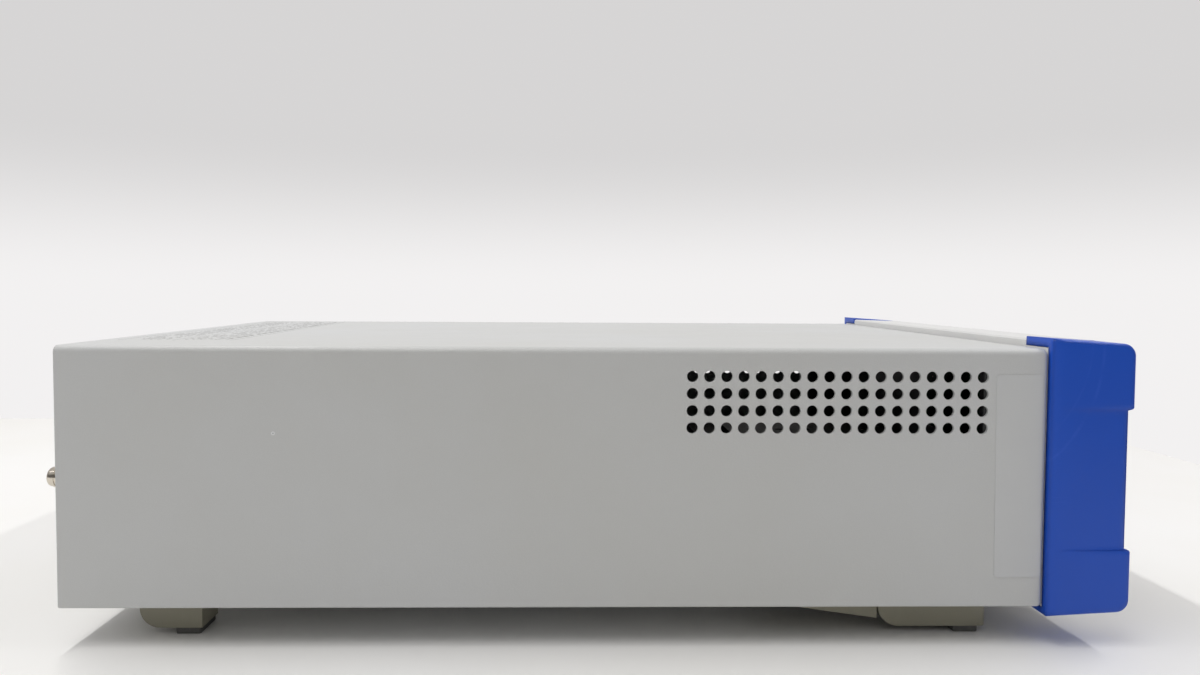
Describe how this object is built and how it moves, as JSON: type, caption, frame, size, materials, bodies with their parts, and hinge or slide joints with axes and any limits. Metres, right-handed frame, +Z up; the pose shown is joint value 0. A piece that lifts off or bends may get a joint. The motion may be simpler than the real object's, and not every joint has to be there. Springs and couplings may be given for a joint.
{
  "type": "frequency counter",
  "caption": "Bench frequency counter with a vented metal sleeve, corner bumpers, display, keypad, coaxial inputs and fold-down front legs.",
  "frame": {"origin": "centre of the bounding box's bottom face, on the surface that the feet stand on", "axes": "+Z up; -Y out of the front panel; +X to the right of someone facing the front panel"},
  "size_m": [0.215, 0.3946, 0.1093],
  "materials": {
    "cover_paint": "fine textured powder coat, warm light grey",
    "label_film": "satin film, light grey",
    "blue_plastic": "satin gloss royal blue",
    "white_plastic": "fine satin off-white",
    "key_plastic": "satin mid grey",
    "lens_green": "translucent",
    "window_clear": "clear, polished",
    "lcd": "reflective display glass",
    "circuit_board": "green solder resist",
    "silicone": "translucent grey silicone",
    "nickel": "nickel plated",
    "zinc_steel": "zinc plated",
    "insulator": "white dielectric",
    "gold_contact": "gold plated",
    "black_plastic": "moulded black",
    "bare_sheet": "tin or zinc plated sheet",
    "aluminium_fins": "extruded, clear anodised",
    "component_black": "moulded packages",
    "cable_grey": "flat grey cable",
    "foot_plastic": "olive grey moulding",
    "pad_rubber": "grey rubber"
  },
  "bodies": {
    "instrument": {"board_components": "component_black", "bumper_left": "blue_plastic", "bumper_right": "blue_plastic", "bus_connector": "nickel", "bus_connector_core": "black_plastic", "chassis_tray": "bare_sheet", "cover_screws": "nickel", "cover_sleeve": "cover_paint", "display_board": "circuit_board", "display_cable": "cable_grey", "display_window": "window_clear", "fan_frame": "black_plastic", "fan_guard": "nickel", "foot_pads": "pad_rubber", "foot_screws": "zinc_steel", "front_bezel": "white_plastic", "front_feet": "foot_plastic", "front_subpanel": "bare_sheet", "heat_sink": "aluminium_fins", "indicator_lenses": "lens_green", "inlet_pins": "nickel", "input_ab_jacks": "nickel", "input_c_jack": "nickel", "jack_contacts": "gold_contact", "jack_insulators": "insulator", "jack_nuts": "nickel", "keypad_mat": "silicone", "lcd_module": "lcd", "leg_pins": "zinc_steel", "main_board": "circuit_board", "mains_inlet": "black_plastic", "power_supply_board": "circuit_board", "power_supply_parts": "component_black", "rear_feet": "foot_plastic", "rear_jacks": "nickel", "rear_panel": "cover_paint", "rear_panel_screws": "nickel", "screening_cans": "bare_sheet", "side_labels": "label_film", "standoffs": "zinc_steel", "timebase_oven": "bare_sheet", "usb_socket": "nickel"},
    "key_0": {"key_0": "key_plastic"},
    "key_1": {"key_1": "key_plastic"},
    "key_2": {"key_2": "key_plastic"},
    "key_3": {"key_3": "key_plastic"},
    "key_4": {"key_4": "key_plastic"},
    "key_5": {"key_5": "key_plastic"},
    "key_6": {"key_6": "key_plastic"},
    "key_7": {"key_7": "key_plastic"},
    "key_8": {"key_8": "key_plastic"},
    "key_9": {"key_9": "key_plastic"},
    "key_enter": {"key_enter": "key_plastic"},
    "key_menu": {"key_menu": "key_plastic"},
    "standby_key": {"standby_key": "key_plastic"},
    "tilt_leg_left": {"tilt_leg_left": "foot_plastic"},
    "tilt_leg_right": {"tilt_leg_right": "foot_plastic"},
    "fan_rotor": {"fan_rotor": "black_plastic"},
    "fuse_drawer": {"fuse_drawer": "black_plastic"}
  },
  "joints": [
    {"name": "key_0_press", "type": "slide", "parent": "instrument", "child": "key_0", "axis": [0, 1, 0], "range_m": [0, 0.001], "stiffness_N_per_m": 900},
    {"name": "key_1_press", "type": "slide", "parent": "instrument", "child": "key_1", "axis": [0, 1, 0], "range_m": [0, 0.001], "stiffness_N_per_m": 900},
    {"name": "key_2_press", "type": "slide", "parent": "instrument", "child": "key_2", "axis": [0, 1, 0], "range_m": [0, 0.001], "stiffness_N_per_m": 900},
    {"name": "key_3_press", "type": "slide", "parent": "instrument", "child": "key_3", "axis": [0, 1, 0], "range_m": [0, 0.001], "stiffness_N_per_m": 900},
    {"name": "key_4_press", "type": "slide", "parent": "instrument", "child": "key_4", "axis": [0, 1, 0], "range_m": [0, 0.001], "stiffness_N_per_m": 900},
    {"name": "key_5_press", "type": "slide", "parent": "instrument", "child": "key_5", "axis": [0, 1, 0], "range_m": [0, 0.001], "stiffness_N_per_m": 900},
    {"name": "key_6_press", "type": "slide", "parent": "instrument", "child": "key_6", "axis": [0, 1, 0], "range_m": [0, 0.001], "stiffness_N_per_m": 900},
    {"name": "key_7_press", "type": "slide", "parent": "instrument", "child": "key_7", "axis": [0, 1, 0], "range_m": [0, 0.001], "stiffness_N_per_m": 900},
    {"name": "key_8_press", "type": "slide", "parent": "instrument", "child": "key_8", "axis": [0, 1, 0], "range_m": [0, 0.001], "stiffness_N_per_m": 900},
    {"name": "key_9_press", "type": "slide", "parent": "instrument", "child": "key_9", "axis": [0, 1, 0], "range_m": [0, 0.001], "stiffness_N_per_m": 900},
    {"name": "key_enter_press", "type": "slide", "parent": "instrument", "child": "key_enter", "axis": [0, 1, 0], "range_m": [0, 0.001], "stiffness_N_per_m": 900},
    {"name": "key_menu_press", "type": "slide", "parent": "instrument", "child": "key_menu", "axis": [0, 1, 0], "range_m": [0, 0.001], "stiffness_N_per_m": 900},
    {"name": "standby_key_press", "type": "slide", "parent": "instrument", "child": "standby_key", "axis": [0, 1, 0], "range_m": [0, 0.001], "stiffness_N_per_m": 900},
    {"name": "tilt_leg_left_hinge", "type": "hinge", "parent": "instrument", "child": "tilt_leg_left", "pos_m": [-0.086, -0.11355, 0.01], "axis": [-1, 0, 0], "range_deg": [0, 92]},
    {"name": "tilt_leg_right_hinge", "type": "hinge", "parent": "instrument", "child": "tilt_leg_right", "pos_m": [0.086, -0.11355, 0.01], "axis": [-1, 0, 0], "range_deg": [0, 92]},
    {"name": "fan_spin", "type": "hinge", "parent": "instrument", "child": "fan_rotor", "pos_m": [0.058, 0.17285, 0.06], "axis": [0, 1, 0], "continuous": true},
    {"name": "fuse_drawer_slide", "type": "slide", "parent": "instrument", "child": "fuse_drawer", "axis": [0, 1, 0], "range_m": [0, 0.015]}
  ]
}
